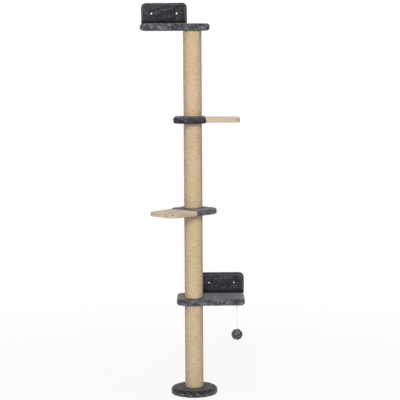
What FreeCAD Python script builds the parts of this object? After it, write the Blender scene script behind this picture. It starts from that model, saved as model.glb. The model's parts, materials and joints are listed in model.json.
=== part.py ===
import FreeCAD, Part
import math
import os

V = FreeCAD.Vector

# Millimetres. The post axis is Z, the origin is the middle of the foot on the floor,
# the wall is on the +Y side and +X is to the right of someone who faces the wall.

# Clearances and shared finishes
fit = 0.3
overrun = 5.0
same_place = 0.001
board_thickness = 18.0
plush_thickness = 4.5
plush_edge_round = 4.0

# Posts
post_count = 4
post_length = 370.0
tube_diameter = 70.0
tube_wall = 3.0
rope_diameter = 5.0
rope_gap = 0.5
rope_end_turns = 12
rope_start_turn = 90.0
plug_length = 40.0
insert_length = 18.0
insert_diameter = 14.5

# Threaded rods, base bolt and T-nut
stud_diameter = 10.0
stud_reach = 28.0
base_bolt_head_width = 17.0
base_bolt_head_height = 6.4
washer_diameter = 30.0
washer_thickness = 2.0
tee_nut_diameter = 26.0
tee_nut_flange = 1.6
tee_nut_barrel = 12.0
tee_nut_wall = 1.6

# Base
base_diameter = 192.0
base_thickness = 19.0
foot_diameter = 166.0
foot_thickness = 5.0
foot_stands_proud = 1.0

# Wall shelves: the top one reaches to the left of the post and the low one to the right
shelf_length = 287.0
shelf_width = 176.0
shelf_corner = 21.0
shelf_near_end = 69.0
shelf_front_edge = 52.5

# Wall plates that stand on the back edge of the shelves
plate_length = 190.0
plate_height = 83.0
plate_thickness = 16.0
plate_corner = 16.0
wall_hole_diameter = 9.0
wall_hole_spacing = 110.0
wall_hole_height = 47.0
plate_screw_count = 3
plate_screw_from_end = 25.0
plate_screw_diameter = 4.5
plate_screw_head = 9.0
plate_screw_head_depth = 3.0
plate_screw_grip = 26.0
plate_screw_tip = 5.0

# Steps: half bare pine, half covered, and turned about the post
step_length = 282.0
step_width = 154.0
step_corner = 31.0
step_edge_round = 3.5
step_covered_end = 79.0
step_near_edge = 77.0
step_cover_reach = 58.0
upper_step_turn = 0.0
lower_step_turn = 227.0

# Hanging ball
toy_from_end = 35.0
toy_from_axis = 25.0
toy_drop = 108.0
ball_diameter = 48.0
ball_core_diameter = 40.0
string_diameter = 2.4
staple_wire = 1.2
staple_span = 9.0
staple_grip = 10.0
loop_cord = 1.8
loop_diameter = 7.2
loop_swing_room = 0.5
eye_cord = 2.0
eye_diameter = 5.8
top_knot_diameter = 5.0
top_knot_length = 4.0
end_knot_diameter = 6.4
end_knot_length = 5.0

# Derived places
tube_radius = tube_diameter / 2
tube_bore = tube_radius - tube_wall
rope_line = tube_radius + fit + rope_diameter / 2
stud_radius = stud_diameter / 2
stud_hole = stud_radius + fit
slab_thickness = board_thickness + 2 * plush_thickness
base_top = foot_thickness + base_thickness + plush_thickness
storey = post_length + slab_thickness
post_feet = [base_top + n * storey for n in range(post_count)]
slab_feet = [foot + post_length for foot in post_feet]
shelf_back = shelf_width - shelf_front_edge + plush_thickness


def disc(radius, low, high, x=0, y=0):
    """An upright cylinder from height low to height high."""
    return Part.makeCylinder(radius, high - low, V(x, y, low))


def is_along(edge, axis):
    """Whether an edge runs straight along a unit axis."""
    first, last = edge.Vertexes[0].Point, edge.Vertexes[-1].Point
    run = last - first
    return run.Length > same_place and run.cross(axis).Length < same_place


def is_rim(edge, axis, low, high):
    """Whether an edge lies on one of the two faces across the axis."""
    levels = [vertex.Point.dot(axis) for vertex in edge.Vertexes]
    ends = (low.dot(axis), high.dot(axis))
    return any(all(abs(level - end) < same_place for level in levels) for end in ends)


def rounded_block(low, high, axis, corner, rim, corners=None, rims=None):
    """A box with rounded corners seen along the axis, and a rounded rim on its two faces."""
    size = high - low
    block = Part.makeBox(size.x, size.y, size.z, low)
    chosen = [e for e in block.Edges if is_along(e, axis)]
    block = block.makeFillet(corner, [e for e in chosen if not corners or corners(e.CenterOfMass)])
    if not rim:
        return block
    chosen = [e for e in block.Edges if is_rim(e, axis, low, high)]
    return block.makeFillet(rim, [e for e in chosen if not rims or rims(e.CenterOfMass)])


def grown(low, high, by):
    """Two opposite corners of a box, moved outwards."""
    step = V(by, by, by)
    return low - step, high + step


def revolved(outline):
    """A solid turned about Z from radius and height pairs, which start and end on the axis."""
    points = [V(radius, 0, height) for radius, height in outline]
    face = Part.Face(Part.makePolygon(points + points[:1]))
    return face.revolve(V(0, 0, 0), V(0, 0, 1), 360)


def torus(ring_diameter, cord, axis, centre):
    """A closed loop of round cord, whose ring diameter is taken at the cord's middle."""
    return Part.makeTorus(ring_diameter / 2, cord / 2, centre, axis)


def tangent_arc(start, corner, end):
    """The arc that is tangent to start-corner and corner-end, which are equally long."""
    reach = (corner - start).Length
    into = (corner - start) * (1 / reach)
    out = (end - corner) * (1 / reach)
    half = into.getAngle(out) / 2
    radius = reach / math.tan(half)
    inwards = (start + end) * 0.5 - corner
    inwards.normalize()
    middle = corner + inwards * (radius / math.cos(half) - radius)
    return Part.Arc(start, middle, end).toShape()


def biarc(start, start_way, end, end_way):
    """Two tangent arcs that leave start along one direction and reach end along another."""
    span = end - start
    both = start_way + end_way
    square = both.dot(both) - 4
    linear = -2 * span.dot(both)
    reach = (-linear - math.sqrt(linear**2 - 4 * square * span.dot(span))) / (2 * square)
    first, last = start + start_way * reach, end - end_way * reach
    middle = (first + last) * 0.5
    return [tangent_arc(start, first, middle), tangent_arc(middle, last, end)]


def rope_turns(turns):
    """Rope wound on the tube, as one unbroken tube whose lowest turn rests on height 0."""
    rise = (rope_diameter + rope_gap) / (2 * math.pi)
    slope = math.hypot(rope_line, rise)

    def place(angle):
        return V(rope_line * math.cos(angle), rope_line * math.sin(angle),
                 rope_diameter / 2 + rise * angle)

    def way(angle):
        return V(-rope_line * math.sin(angle), rope_line * math.cos(angle), rise) * (1 / slope)

    halves = [math.pi * n for n in range(2 * turns + 1)]
    start = place(halves[0]) - way(halves[0]) * rope_diameter
    end = place(halves[-1]) + way(halves[-1]) * rope_diameter
    edges = [Part.makeLine(start, place(halves[0]))]
    for near, far in zip(halves, halves[1:]):
        edges += biarc(place(near), way(near), place(far), way(far))
    edges.append(Part.makeLine(place(halves[-1]), end))
    path = Part.Wire(edges)
    section = Part.Wire([Part.makeCircle(rope_diameter / 2, start, way(halves[0]))])
    shell = Part.BRepOffsetAPI.MakePipeShell(path)
    shell.add(section)
    shell.build()
    shell.makeSolid()
    print_self_gap(path, turns)
    return shell.shape()


def print_self_gap(path, turns):
    """Prints the least gap between each stretch of the rope and the turns beside it."""
    points_per_turn = 240
    points = path.discretize(Number=turns * points_per_turn)
    nearest = 3 * points_per_turn // 4
    farthest = 5 * points_per_turn // 4
    least = min(
        (points[i] - points[j]).Length
        for i in range(len(points))
        for j in range(i + nearest, min(i + farthest, len(points)))
    )
    print("least gap between rope turns", round(least - rope_diameter, 3))


def end_turn_height():
    """The height that the wound turns at one end of a post take up."""
    return rope_end_turns * (rope_diameter + rope_gap) + rope_diameter


def post_tube(foot):
    """The cardboard tube of one post."""
    top = foot + post_length
    return disc(tube_radius, foot, top).cut(disc(tube_bore, foot - overrun, top + overrun))


def post_plug(end, inwards):
    """A wooden plug in a tube's end, bored for its threaded insert and the rod."""
    far = end + inwards * plug_length
    plug = disc(tube_bore - fit, min(end, far), max(end, far))
    rod = end + inwards * (stud_reach + overrun)
    plug = plug.cut(disc(stud_hole, min(end, rod), max(end, rod)))
    seat = end + inwards * insert_length
    return plug.cut(disc(insert_diameter / 2 + fit, min(end, seat), max(end, seat)))


def post_insert(end, inwards):
    """The threaded insert in a plug, flush with the plug's outer face."""
    far = end + inwards * insert_length
    low, high = min(end, far), max(end, far)
    return disc(insert_diameter / 2, low, high).cut(disc(stud_hole, low, high))


def sisal_sleeve(foot):
    """The closely wound middle of a post, as a plain sleeve between its two ends' turns."""
    low = foot + fit + end_turn_height() + rope_gap
    high = foot + post_length - fit - end_turn_height() - rope_gap
    bore = disc(tube_radius + fit, low - overrun, high + overrun)
    return disc(rope_line + rope_diameter / 2, low, high).cut(bore)


def base_board():
    """The round board of the base, with a pocket below for the bolt's head."""
    low, high = foot_thickness, foot_thickness + base_thickness
    board = disc(base_diameter / 2, low, high).cut(disc(stud_hole, low, high))
    return board.cut(disc(washer_diameter / 2 + fit, low, washer_level() + washer_thickness))


def washer_level():
    """The height of the washer's underside, with the bolt's head wholly in its pocket."""
    return foot_thickness + 2 * fit + base_bolt_head_height


def base_washer():
    """The washer between the bolt's head and the board."""
    low, high = washer_level(), washer_level() + washer_thickness
    return disc(washer_diameter / 2, low, high).cut(disc(stud_hole, low, high))


def base_bolt():
    """The hexagon bolt that comes up through the base into the lowest post."""
    corner = base_bolt_head_width / math.sqrt(3)
    low = washer_level() - base_bolt_head_height
    points = [V(corner * math.cos(n * math.pi / 3), corner * math.sin(n * math.pi / 3), low)
              for n in range(6)]
    face = Part.Face(Part.makePolygon(points + points[:1]))
    head = face.extrude(V(0, 0, base_bolt_head_height))
    return head.fuse(disc(stud_radius, washer_level(), base_top + stud_reach)).removeSplitter()


def base_foot():
    """The non-slip disc that the base stands on."""
    return disc(foot_diameter / 2, 0, foot_thickness)


def base_plush():
    """The cover of the base: its top, its side and a rim turned in underneath."""
    low = foot_stands_proud
    cover = disc(base_diameter / 2 + plush_thickness, low, base_top)
    rims = [e for e in cover.Edges if is_rim(e, V(0, 0, 1), V(0, 0, low), V(0, 0, base_top))]
    round_low = min(plush_edge_round, (foot_thickness - fit - low) / 2)
    cover = cover.makeFillet(plush_edge_round, [e for e in rims if e.CenterOfMass.z > base_top / 2])
    rims = [e for e in cover.Edges if is_rim(e, V(0, 0, 1), V(0, 0, low), V(0, 0, low))]
    cover = cover.makeFillet(round_low, rims)
    pocket = disc(base_diameter / 2 + fit, foot_thickness - fit,
                  foot_thickness + base_thickness + fit)
    cover = cover.cut(pocket).cut(disc(foot_diameter / 2 + fit, low - overrun, foot_thickness))
    return cover.cut(disc(stud_hole, foot_thickness, base_top + overrun))


def joining_stud(foot):
    """The threaded rod through a board, which joins the posts below and above it."""
    return disc(stud_radius, foot - stud_reach, foot + slab_thickness + stud_reach)


def shelf_board_corners(foot, side):
    """The low and high corners of a wall shelf's board, which reaches to -X or +X."""
    near, far = -side * shelf_near_end, side * (shelf_length - shelf_near_end)
    level = foot + plush_thickness
    low = V(min(near, far), -shelf_front_edge, level)
    return low, V(max(near, far), shelf_width - shelf_front_edge, level + board_thickness)


def plate_middle(side):
    """The X of the middle of a shelf's wall plate, which ends flush with the shelf's far end."""
    return side * (shelf_length - shelf_near_end - plate_length / 2)


def plate_board_corners(foot, side):
    """The low and high corners of the board inside a wall plate."""
    back = shelf_back - plush_thickness
    level = foot + slab_thickness + plush_thickness
    middle = plate_middle(side)
    low = V(middle - plate_length / 2, back - plate_thickness, level)
    return low, V(middle + plate_length / 2, back, level + plate_height)


def plate_screw_places(side):
    """The X of each screw that holds a wall plate down, evenly spaced between the outer two."""
    row = plate_length - 2 * plate_screw_from_end
    spacing = row / (plate_screw_count - 1)
    return [plate_middle(side) - row / 2 + n * spacing for n in range(plate_screw_count)]


def plate_screw(foot, x, grow=0):
    """A countersunk screw up through the shelf's board into the plate, or with grow its hole."""
    low = foot + plush_thickness
    radius = plate_screw_diameter / 2 + grow
    top = foot + slab_thickness + plush_thickness + plate_screw_grip
    outline = [(0, low), (plate_screw_head / 2 + grow, low),
               (radius, low + plate_screw_head_depth), (radius, top - plate_screw_tip),
               (0, top + grow)]
    screw = revolved(outline)
    screw.translate(V(x, shelf_back - plush_thickness - plate_thickness / 2, 0))
    return screw


def plate_screws(foot, side, grow=0):
    """All the screws of one wall plate."""
    return [plate_screw(foot, x, grow) for x in plate_screw_places(side)]


def wall_holes(foot, side):
    """The two bores through a wall plate that its wall screws pass."""
    height = foot + slab_thickness + wall_hole_height
    depth = plate_thickness + 2 * (plush_thickness + overrun)
    start = shelf_back + overrun - depth
    return [Part.makeCylinder(wall_hole_diameter / 2, depth,
                              V(plate_middle(side) + hand * wall_hole_spacing / 2, start, height),
                              V(0, 1, 0))
            for hand in (-1, 1)]


def wall_plate_board(foot, side):
    """The board inside a wall plate, with rounded upper corners."""
    low, high = plate_board_corners(foot, side)
    block = rounded_block(low, high, V(0, 1, 0), plate_corner, 0, lambda at: at.z > high.z - same_place)
    return block.cut(wall_holes(foot, side) + plate_screws(foot, side, fit))


def wall_plate_plush(foot, side):
    """The cover of a wall plate, which wraps its board all round."""
    low, high = plate_board_corners(foot, side)
    outer_low, outer_high = grown(low, high, plush_thickness)
    across = V(0, 1, 0)
    outer = rounded_block(outer_low, outer_high, across, plate_corner + plush_thickness, 0,
                          lambda at: at.z > outer_high.z - same_place)
    feet = [e for e in outer.Edges if is_along(e, across)
            and e.CenterOfMass.z < outer_low.z + same_place]
    outer = outer.makeFillet(plush_edge_round, feet)
    rims = [e for e in outer.Edges if is_rim(e, across, outer_low, outer_high)]
    outer = outer.makeFillet(plush_edge_round, rims)
    inner_low, inner_high = grown(low, high, fit)
    inner = rounded_block(inner_low, inner_high, across, plate_corner + fit, 0,
                          lambda at: at.z > inner_high.z - same_place)
    return outer.cut([inner] + wall_holes(foot, side) + plate_screws(foot, side, fit))


def shelf_board(foot, side, cuts):
    """The board of a wall shelf, bored for what passes it."""
    low, high = shelf_board_corners(foot, side)
    board = rounded_block(low, high, V(0, 0, 1), shelf_corner, 0)
    return board.cut(cuts + plate_screws(foot, side, fit))


def shelf_plush(foot, side, cuts):
    """The cover of a wall shelf, which wraps its board all round."""
    low, high = shelf_board_corners(foot, side)
    up = V(0, 0, 1)
    outer = rounded_block(*grown(low, high, plush_thickness), up,
                          shelf_corner + plush_thickness, plush_edge_round)
    inner = rounded_block(*grown(low, high, fit), up, shelf_corner + fit, 0)
    return outer.cut([inner] + cuts + plate_screws(foot, side, fit))


def step_board_corners(foot):
    """The low and high corners of a step's board before it is turned about the post."""
    level = foot + plush_thickness
    low = V(-step_covered_end, -step_near_edge, level)
    return low, low + V(step_length, step_width, board_thickness)


def turned(shape, turn):
    """The shape turned about the post."""
    shape.rotate(V(0, 0, 0), V(0, 0, 1), turn)
    return shape


def step_board(foot, turn):
    """The pine board of a step, with rounded edges and the rod's hole."""
    board = rounded_block(*step_board_corners(foot), V(0, 0, 1), step_corner, step_edge_round)
    hole = disc(stud_hole, foot - overrun, foot + slab_thickness + overrun)
    return turned(board.cut(hole), turn)


def step_plush(foot, turn):
    """The sleeve that covers a step under and above the posts, closed at the short end."""
    low, high = step_board_corners(foot)
    outer_low, outer_high = grown(low, high, plush_thickness)
    outer_high.x = step_cover_reach
    up = V(0, 0, 1)
    outer = rounded_block(outer_low, outer_high, up, step_corner + plush_thickness, plush_edge_round,
                          lambda at: at.x < outer_low.x + same_place,
                          lambda at: at.x < outer_high.x - same_place)
    inner = rounded_block(*grown(low, high, fit), up, step_corner + fit, 0)
    hole = disc(stud_hole, foot - overrun, foot + slab_thickness + overrun)
    return turned(outer.cut([inner, hole]), turn)


def top_tee_nut(foot, grow=0):
    """The nut under the top shelf's cover that the uppermost rod ends in, or its hole."""
    top = foot + plush_thickness + board_thickness
    barrel = stud_hole + tee_nut_wall + grow
    low = top - tee_nut_barrel - grow
    body = disc(tee_nut_diameter / 2 + grow, top - tee_nut_flange - grow, top)
    return body.fuse(disc(barrel, low, top)).removeSplitter()


def top_stud(foot):
    """The rod from the uppermost post into the top shelf's nut."""
    return disc(stud_radius, foot - stud_reach, foot + plush_thickness + board_thickness)


def toy_anchor():
    """The lowest point of the staple's wire, about which the toy's loop swings sideways."""
    swing = loop_hang() / 2
    drop = loop_diameter / 2 + loop_cord / 2 - swing + loop_swing_room
    return V(shelf_length - shelf_near_end + plush_thickness - toy_from_end, -toy_from_axis,
             slab_feet[0] - drop)


def loop_hang():
    """How far the loop's middle hangs below the staple's wire."""
    return (loop_diameter - loop_cord - staple_wire) / 2 - fit


def eye_hang():
    """How far the middle of the string's eye hangs below the cord of the loop."""
    return (eye_diameter - eye_cord - loop_cord) / 2 - fit


def eye_pivot():
    """The lowest point of the loop's cord, about which the string swings to and fro."""
    return toy_anchor() - V(0, 0, loop_hang() + loop_diameter / 2)


def staple_legs(low, grow=0):
    """The two legs of the staple from a height upwards, or with grow the holes that they take."""
    anchor = toy_anchor()
    top = slab_feet[0] + plush_thickness + staple_grip + grow
    return [disc(staple_wire / 2 + grow, low, top, anchor.x, anchor.y + hand * staple_span / 2)
            for hand in (-1, 1)]


def toy_staple():
    """The wire staple in the low shelf's underside that the toy hangs from."""
    anchor = toy_anchor()
    middle = anchor + V(0, 0, staple_span / 2)
    crown = torus(staple_span, staple_wire, V(1, 0, 0), middle)
    below = Part.makeBox(staple_wire * 2, staple_span * 2, staple_span,
                         anchor - V(staple_wire, staple_span, staple_span / 2))
    return crown.common(below).fuse(staple_legs(middle.z)).removeSplitter()


def toy_loop():
    """The small loop of cord that hangs in the staple."""
    return torus(loop_diameter, loop_cord, V(0, 1, 0), toy_anchor() - V(0, 0, loop_hang()))


def string_top():
    """Where the string leaves its upper knot."""
    eye_foot = eye_hang() + eye_diameter / 2
    return eye_pivot() - V(0, 0, eye_foot + top_knot_length)


def toy_top_knot():
    """The string's eye with the knot that closes it."""
    pivot = eye_pivot()
    eye = torus(eye_diameter, eye_cord, V(1, 0, 0), pivot - V(0, 0, eye_hang()))
    top = string_top()
    return eye.fuse(disc(top_knot_diameter / 2, top.z, top.z + top_knot_length, top.x, top.y))


def ball_middle():
    """The middle of the hanging ball."""
    return V(toy_anchor().x, toy_anchor().y, slab_feet[0] - toy_drop - ball_diameter / 2)


def end_knot_top():
    """The height at which the string ends in its knot, low inside the ball's core."""
    return ball_middle().z - ball_core_diameter / 2 + end_knot_length + 2 * fit


def toy_string():
    """The string, pulled straight by the ball."""
    top = string_top()
    return disc(string_diameter / 2, end_knot_top(), top.z, top.x, top.y)


def toy_end_knot():
    """The knot that keeps the string in the ball."""
    at, top = ball_middle(), end_knot_top()
    return disc(end_knot_diameter / 2, top - end_knot_length, top, at.x, at.y)


def toy_ball_core():
    """The ball's core, bored for the string and pocketed below for its knot."""
    at, top = ball_middle(), end_knot_top()
    core = Part.makeSphere(ball_core_diameter / 2, at)
    bore = disc(string_diameter / 2 + fit, top, at.z + ball_diameter, at.x, at.y)
    pocket = disc(end_knot_diameter / 2 + fit, at.z - ball_diameter, top + fit, at.x, at.y)
    return core.cut([bore, pocket])


def toy_ball_cover():
    """The ball's plush cover, open above for the string."""
    at = ball_middle()
    cover = Part.makeSphere(ball_diameter / 2, at)
    inner = Part.makeSphere(ball_core_diameter / 2 + fit, at)
    bore = disc(string_diameter / 2 + fit, at.z, at.z + ball_diameter, at.x, at.y)
    return cover.cut([inner, bore])


def save(name, *solids):
    """Writes one node of one or more separate solids."""
    shape = solids[0] if len(solids) == 1 else Part.makeCompound(list(solids))
    if not shape.isValid():
        raise ValueError("the shape of " + name + " isn't valid")
    shape.exportStep(os.path.join("parts", name + ".step"))
    print(name, len(shape.Solids), round(shape.Volume))


def save_base():
    """Writes the base."""
    save("base_board", base_board())
    save("base_plush", base_plush())
    save("base_foot", base_foot())
    save("base_bolt", base_bolt())
    save("base_washer", base_washer())


def save_posts():
    """Writes the four posts, each with its own tube, plugs, inserts and rope."""
    turns = rope_turns(rope_end_turns)
    for number, foot in enumerate(post_feet, start=1):
        top = foot + post_length
        post = "post_" + str(number)
        save(post + "_tube", post_tube(foot))
        save(post + "_plugs", post_plug(foot, 1), post_plug(top, -1))
        save(post + "_inserts", post_insert(foot, 1), post_insert(top, -1))
        save(post + "_sisal", sisal_sleeve(foot))
        levels = {"_sisal_low_turns": foot + fit, "_sisal_top_turns": top - fit - end_turn_height()}
        for end, level in levels.items():
            placed = turned(turns.copy(), rope_start_turn)
            placed.translate(V(0, 0, level))
            save(post + end, placed)


def save_shelf(name, foot, side, board_cuts, plush_cuts):
    """Writes a wall shelf with its wall plate and the plate's screws."""
    save(name + "_board", shelf_board(foot, side, board_cuts))
    save(name + "_plush", shelf_plush(foot, side, plush_cuts))
    save(name + "_plate_board", wall_plate_board(foot, side))
    save(name + "_plate_plush", wall_plate_plush(foot, side))
    save(name + "_plate_screws", *plate_screws(foot, side))


def save_shelves():
    """Writes the two wall shelves and the rods at them."""
    low, top = slab_feet[0], slab_feet[-1]
    rod_hole = disc(stud_hole, low - overrun, low + slab_thickness + overrun)
    low_cuts = [rod_hole] + staple_legs(low - overrun, fit)
    save_shelf("low_shelf", low, 1, low_cuts, low_cuts)
    save("low_stud", joining_stud(low))
    rod_hole = disc(stud_hole, top - overrun, top + plush_thickness + board_thickness)
    save_shelf("top_shelf", top, -1, [rod_hole, top_tee_nut(top, fit)], [rod_hole])
    nut_bore = disc(stud_hole, top, top + slab_thickness)
    save("top_tee_nut", top_tee_nut(top).cut(nut_bore))
    save("top_stud", top_stud(top))


def save_steps():
    """Writes the two steps and the rods that they turn about."""
    steps = {"lower_step": (slab_feet[1], lower_step_turn),
             "upper_step": (slab_feet[2], upper_step_turn)}
    for name, (foot, turn) in steps.items():
        save(name + "_board", step_board(foot, turn))
        save(name + "_plush", step_plush(foot, turn))
        save(name + "_stud", joining_stud(foot))


def save_toy():
    """Writes the ball that hangs under the low shelf."""
    save("toy_staple", toy_staple())
    save("toy_loop", toy_loop())
    save("toy_top_knot", toy_top_knot())
    save("toy_string", toy_string())
    save("toy_end_knot", toy_end_knot())
    save("toy_ball_core", toy_ball_core())
    save("toy_ball_cover", toy_ball_cover())


os.makedirs("parts", exist_ok=True)
save_base()
save_posts()
save_shelves()
save_steps()
save_toy()
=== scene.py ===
"""A sisal-wound climbing post with plush shelves, pine steps and a hanging ball."""

import json
import logging
import math
from dataclasses import dataclass, field
from enum import Enum
from typing import Any, Callable, Mapping, Sequence

import bmesh
import bpy
from bpy.types import Material, Object
from mathutils import Matrix, Vector, noise

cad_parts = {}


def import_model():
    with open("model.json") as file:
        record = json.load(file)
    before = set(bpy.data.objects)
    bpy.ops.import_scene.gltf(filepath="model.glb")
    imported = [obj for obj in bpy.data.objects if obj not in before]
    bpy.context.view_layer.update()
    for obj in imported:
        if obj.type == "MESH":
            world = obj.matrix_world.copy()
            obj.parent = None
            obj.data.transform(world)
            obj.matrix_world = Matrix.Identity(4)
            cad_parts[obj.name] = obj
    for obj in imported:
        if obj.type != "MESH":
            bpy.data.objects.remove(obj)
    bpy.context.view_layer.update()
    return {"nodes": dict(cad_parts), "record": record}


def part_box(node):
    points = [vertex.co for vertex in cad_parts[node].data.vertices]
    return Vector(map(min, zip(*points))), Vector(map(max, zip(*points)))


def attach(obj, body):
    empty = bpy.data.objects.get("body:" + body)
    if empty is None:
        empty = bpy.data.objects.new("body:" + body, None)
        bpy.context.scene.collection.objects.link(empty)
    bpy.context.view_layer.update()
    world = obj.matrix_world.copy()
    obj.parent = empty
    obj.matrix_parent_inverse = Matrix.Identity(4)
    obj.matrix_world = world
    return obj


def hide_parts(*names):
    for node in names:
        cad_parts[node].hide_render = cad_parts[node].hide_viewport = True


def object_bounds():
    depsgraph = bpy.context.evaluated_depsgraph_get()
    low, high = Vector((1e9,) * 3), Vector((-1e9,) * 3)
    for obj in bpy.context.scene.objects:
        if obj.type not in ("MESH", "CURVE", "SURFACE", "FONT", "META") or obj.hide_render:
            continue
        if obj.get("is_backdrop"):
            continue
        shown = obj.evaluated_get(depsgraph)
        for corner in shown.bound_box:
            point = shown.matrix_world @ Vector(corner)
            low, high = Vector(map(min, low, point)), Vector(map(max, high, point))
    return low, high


LOG = logging.getLogger("climbing_post")
NOISE_SEED = 1
MM = 0.001
QUARTER_TURN = math.pi / 2
FULL_TURN = 2 * math.pi
POSTS = (1, 2, 3, 4)
RIGHT = Vector((1, 0, 0))
BACK = Vector((0, 1, 0))
UP = Vector((0, 0, 1))
Colour = tuple[float, float, float]
Scales = tuple[float, float, float]
Pair = tuple[float, float]
Span = Pair


class Body(Enum):
    """The rigid bodies of the frame."""

    ROOT = "root"
    UPPER_STEP = "upper_step"
    LOWER_STEP = "lower_step"
    TOY_LOOP = "toy_loop"
    TOY = "toy"


class Slot(Enum):
    """The material slots of the record."""

    PINE = "pine"
    CORE_BOARD = "core_board"
    PLUG_WOOD = "plug_wood"
    GREY_PLUSH = "grey_plush"
    BALL_PLUSH = "ball_plush"
    SISAL = "sisal"
    WOUND_TUBE = "wound_tube"
    ZINC_STEEL = "zinc_steel"
    FOOT_PAD = "foot_pad"
    WHITE_STRING = "white_string"
    WADDING = "wadding"


def tone(red: float, green: float, blue: float) -> Colour:
    """Turns a colour given from 0 to 255 as it is seen into the linear one that shaders take.

    Args:
        red: The red share, from 0 to 255.
        green: The green share, from 0 to 255.
        blue: The blue share, from 0 to 255.

    Returns:
        The linear colour.
    """
    knee, offset, slope, gamma, brightest = 0.04045, 0.055, 12.92, 2.4, 255

    def linear(value: float) -> float:
        """Returns one share as a linear value."""
        share = value / brightest
        return share / slope if share <= knee else ((share + offset) / (1 + offset)) ** gamma

    return linear(red), linear(green), linear(blue)


def bell(distance: float, width: float) -> float:
    """Returns 1 where the distance is 0, and less and less over the width."""
    return math.exp(-((distance / width) ** 2))


def around(angle: float, first: Vector, second: Vector) -> Vector:
    """Returns the direction at an angle from the first of two crossing directions."""
    return math.cos(angle) * first + math.sin(angle) * second


def middle_of(node: str) -> Vector:
    """Returns the middle of the box round a node."""
    low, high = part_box(node)
    return (low + high) / 2


class Signal:
    """One output of a shader node, on which arithmetic adds Math nodes."""

    def __init__(self, paint: "Paint", socket: bpy.types.NodeSocket) -> None:
        """Keeps the socket and the paint whose tree holds it.

        Args:
            paint: The paint that the socket belongs to.
            socket: The output socket.
        """
        self.paint = paint
        self.socket = socket

    def pick(self, name: str) -> "Signal":
        """Returns another output of the same node."""
        return Signal(self.paint, self.socket.node.outputs[name])

    def apply(self, operation: str, *others: "Signal | float") -> "Signal":
        """Runs a Math node with this value first.

        Args:
            operation: The Math node's operation.
            others: The node's further values.

        Returns:
            The node's result.
        """
        return self.paint.maths(operation, self, *others)

    def __add__(self, other: "Signal | float") -> "Signal":
        """Returns the sum, also where a plain number stands first."""
        return self.apply("ADD", other)

    __radd__ = __add__

    def __sub__(self, other: "Signal | float") -> "Signal":
        """Returns the difference."""
        return self.apply("SUBTRACT", other)

    def __rsub__(self, other: float) -> "Signal":
        """Returns a plain number less this value."""
        return self.paint.maths("SUBTRACT", other, self)

    def __mul__(self, other: "Signal | float") -> "Signal":
        """Returns the product, also where a plain number stands first."""
        return self.apply("MULTIPLY", other)

    __rmul__ = __mul__

    def __pow__(self, other: float) -> "Signal":
        """Returns the power."""
        return self.apply("POWER", other)

    def fraction(self) -> "Signal":
        """Returns the part after the decimal point."""
        return self.apply("FRACT")

    def sine(self) -> "Signal":
        """Returns the sine."""
        return self.apply("SINE")

    def size(self) -> "Signal":
        """Returns the value without its sign."""
        return self.apply("ABSOLUTE")

    def root(self) -> "Signal":
        """Returns the square root."""
        return self.apply("SQRT")

    def centred(self) -> "Signal":
        """Returns the value less a half, so that noise varies about 0."""
        return self - 0.5

    def blend(self, other: "Signal", share: float) -> "Signal":
        """Returns this value by its share, plus the other value by the rest."""
        return self * share + other * (1 - share)


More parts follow.
